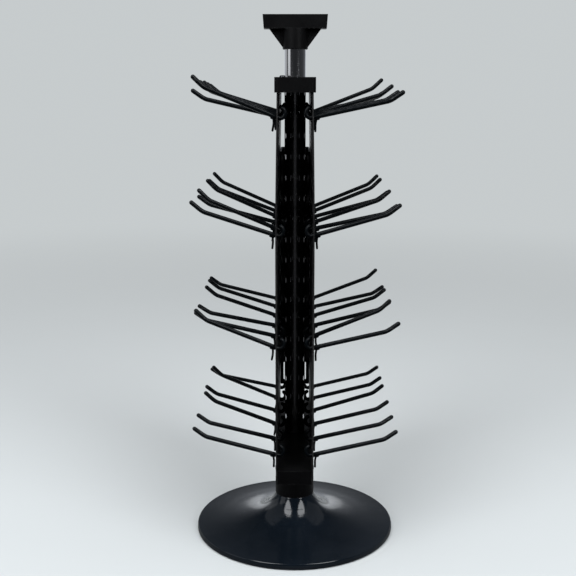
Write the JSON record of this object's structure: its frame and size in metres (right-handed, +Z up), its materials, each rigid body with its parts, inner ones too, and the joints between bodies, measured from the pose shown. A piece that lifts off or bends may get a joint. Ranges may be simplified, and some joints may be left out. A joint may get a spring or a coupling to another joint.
{
  "type": "eyeglass display rack",
  "caption": "Countertop double-sided pegboard spinner with tiers of wire hooks, turning on a chrome pole with a weighted round base and a sign holder on top.",
  "frame": {"origin": "centre of the base's underside, on the pole's axis", "axes": "+Z up along the pole; the panels face -X and +X; each row of hooks runs along Y, and the tie channel is at the +Y edge"},
  "size_m": [0.2512, 0.277, 0.642],
  "materials": {
    "base_plastic": "glossy moulded, blue-black",
    "black_plastic": "satin moulded, fine grain",
    "panel_paint": "satin black powder coat",
    "hook_coating": "semi-gloss black dip coating",
    "chrome": "polished",
    "cast_iron": "as cast",
    "nylon": "natural nylon",
    "base_felt": "felt pad"
  },
  "bodies": {
    "base": {"base_shell": "base_plastic", "base_weight": "cast_iron", "base_pad": "base_felt", "pole": "chrome", "thrust_washer": "nylon"},
    "rack": {"bottom_carrier": "black_plastic", "panel_left": "panel_paint", "panel_right": "panel_paint", "rear_channel": "panel_paint", "top_cap": "black_plastic", "top_bushing": "nylon", "hook_tier1_left_1": "hook_coating", "hook_tier1_left_2": "hook_coating", "hook_tier1_left_3": "hook_coating", "hook_tier1_left_4": "hook_coating", "hook_tier1_left_5": "hook_coating", "hook_tier1_left_6": "hook_coating", "hook_tier1_right_1": "hook_coating", "hook_tier1_right_2": "hook_coating", "hook_tier1_right_3": "hook_coating", "hook_tier1_right_4": "hook_coating", "hook_tier1_right_5": "hook_coating", "hook_tier1_right_6": "hook_coating", "hook_tier2_left_1": "hook_coating", "hook_tier2_left_2": "hook_coating", "hook_tier2_left_3": "hook_coating", "hook_tier2_left_4": "hook_coating", "hook_tier2_left_5": "hook_coating", "hook_tier2_left_6": "hook_coating", "hook_tier2_right_1": "hook_coating", "hook_tier2_right_2": "hook_coating", "hook_tier2_right_3": "hook_coating", "hook_tier2_right_4": "hook_coating", "hook_tier2_right_5": "hook_coating", "hook_tier2_right_6": "hook_coating", "hook_tier3_left_1": "hook_coating", "hook_tier3_left_2": "hook_coating", "hook_tier3_left_3": "hook_coating", "hook_tier3_left_4": "hook_coating", "hook_tier3_left_5": "hook_coating", "hook_tier3_left_6": "hook_coating", "hook_tier3_right_1": "hook_coating", "hook_tier3_right_2": "hook_coating", "hook_tier3_right_3": "hook_coating", "hook_tier3_right_4": "hook_coating", "hook_tier3_right_5": "hook_coating", "hook_tier3_right_6": "hook_coating", "hook_tier4_left_1": "hook_coating", "hook_tier4_left_2": "hook_coating", "hook_tier4_left_3": "hook_coating", "hook_tier4_left_4": "hook_coating", "hook_tier4_left_5": "hook_coating", "hook_tier4_left_6": "hook_coating", "hook_tier4_right_1": "hook_coating", "hook_tier4_right_2": "hook_coating", "hook_tier4_right_3": "hook_coating", "hook_tier4_right_4": "hook_coating", "hook_tier4_right_5": "hook_coating", "hook_tier4_right_6": "hook_coating"},
    "sign": {"sign_holder": "black_plastic"}
  },
  "joints": [
    {"name": "rack_spin", "type": "hinge", "parent": "base", "child": "rack", "pos_m": [0, 0, 0.068], "axis": [0, 0, 1], "continuous": true},
    {"name": "sign_turn", "type": "hinge", "parent": "base", "child": "sign", "pos_m": [0, 0, 0.6225], "axis": [0, 0, 1], "continuous": true}
  ]
}
